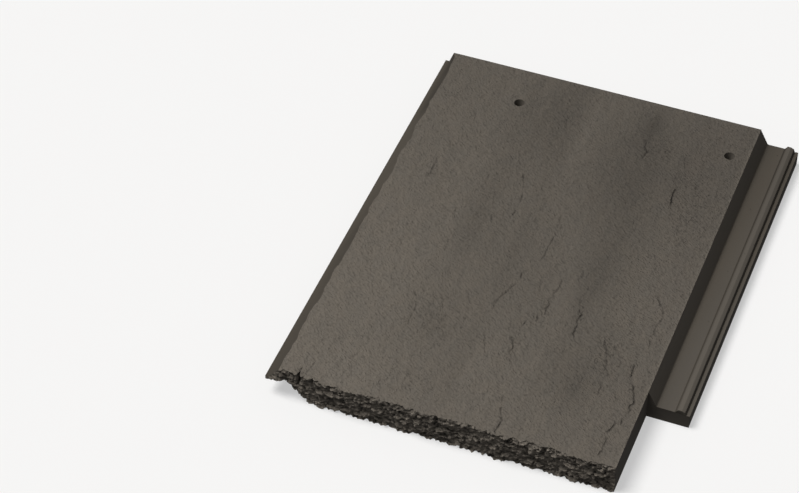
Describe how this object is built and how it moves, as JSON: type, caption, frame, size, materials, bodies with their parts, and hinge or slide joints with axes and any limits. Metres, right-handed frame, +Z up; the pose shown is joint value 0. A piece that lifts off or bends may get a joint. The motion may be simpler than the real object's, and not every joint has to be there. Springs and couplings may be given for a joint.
{
  "type": "interlocking concrete roof tile",
  "caption": "Flat interlocking concrete roof tile with a riven slate-look face, a broken nose edge, a ribbed underlock channel, a thin overlock lip and nail holes near the head.",
  "frame": {"origin": "middle of the tile's length and width, on its underside", "axes": "+X across the tile from the overlock to the underlock, +Y along the tile from the nose to the head, +Z up out of the slate face"},
  "size_m": [0.33, 0.42, 0.029],
  "materials": {
    "concrete": "matt, riven and pitted"
  },
  "bodies": {
    "root": {"tile": "concrete"}
  },
  "joints": []
}
